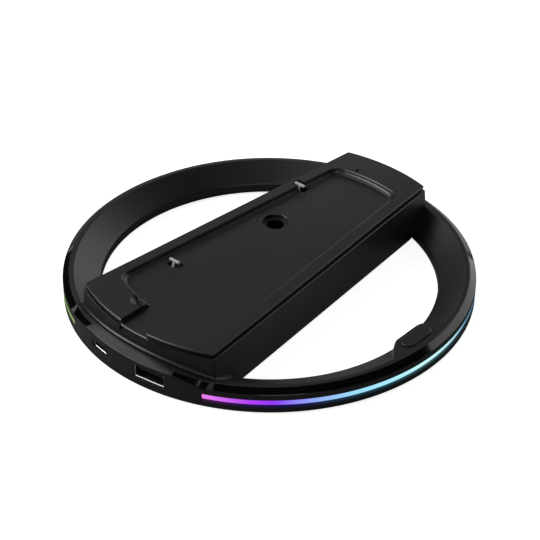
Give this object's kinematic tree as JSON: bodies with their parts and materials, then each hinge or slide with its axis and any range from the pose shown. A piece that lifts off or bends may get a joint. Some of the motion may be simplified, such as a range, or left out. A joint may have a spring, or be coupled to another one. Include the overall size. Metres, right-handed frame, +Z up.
{
  "type": "console cooling stand",
  "caption": "Low ring stand with a light strip round its wall and a raised tapered bridge whose shallow tray, hooks and screw hole hold a console; ports in front, press button on the ring.",
  "frame": {"origin": "middle of the ring, on the surface the stand is put on", "axes": "+Z up, ports towards -Y, button towards +X"},
  "size_m": [0.16, 0.16, 0.0206],
  "materials": {
    "ring_plastic": "fine matte grain",
    "bridge_plastic": "fine matte grain",
    "base_plastic": "fine matte grain",
    "black_gloss": "polished",
    "lit_guide": "milky, lit from behind",
    "flex_board": "satin",
    "led_body": "satin",
    "hook_grey": "satin",
    "black_part": "matte",
    "ivory_part": "satin",
    "green_board": "satin",
    "steel": "satin",
    "port_steel": "polished sheet",
    "contact_gold": "polished",
    "foot_rubber": "matte"
  },
  "bodies": {
    "stand": {"ring_top_shell": "ring_plastic", "gloss_band": "black_gloss", "corner_inlays": "black_gloss", "base_shell": "base_plastic", "light_guide": "lit_guide", "led_strip": "flex_board", "leds": "led_body", "bridge_housing": "bridge_plastic", "tray_plate": "bridge_plastic", "hook_front": "hook_grey", "hook_rear": "hook_grey", "switch_can": "steel", "button_board": "green_board", "main_board": "green_board", "board_chips": "black_part", "board_sockets": "ivory_part", "port_a_shell": "port_steel", "port_a_tongue": "black_part", "port_a_contacts": "contact_gold", "port_c_shell": "port_steel", "port_c_tongue": "black_part", "led_cable": "ivory_part", "button_cable": "ivory_part", "ring_screws": "steel", "bridge_screws": "steel", "board_screws": "steel", "rubber_feet": "foot_rubber"},
    "button": {"button_cap": "ring_plastic", "switch_stem": "black_part"}
  },
  "joints": [
    {"name": "button_press", "type": "slide", "parent": "stand", "child": "button", "axis": [0, 0, -1], "range_m": [0, 0.0005], "stiffness_N_per_m": 3000}
  ]
}
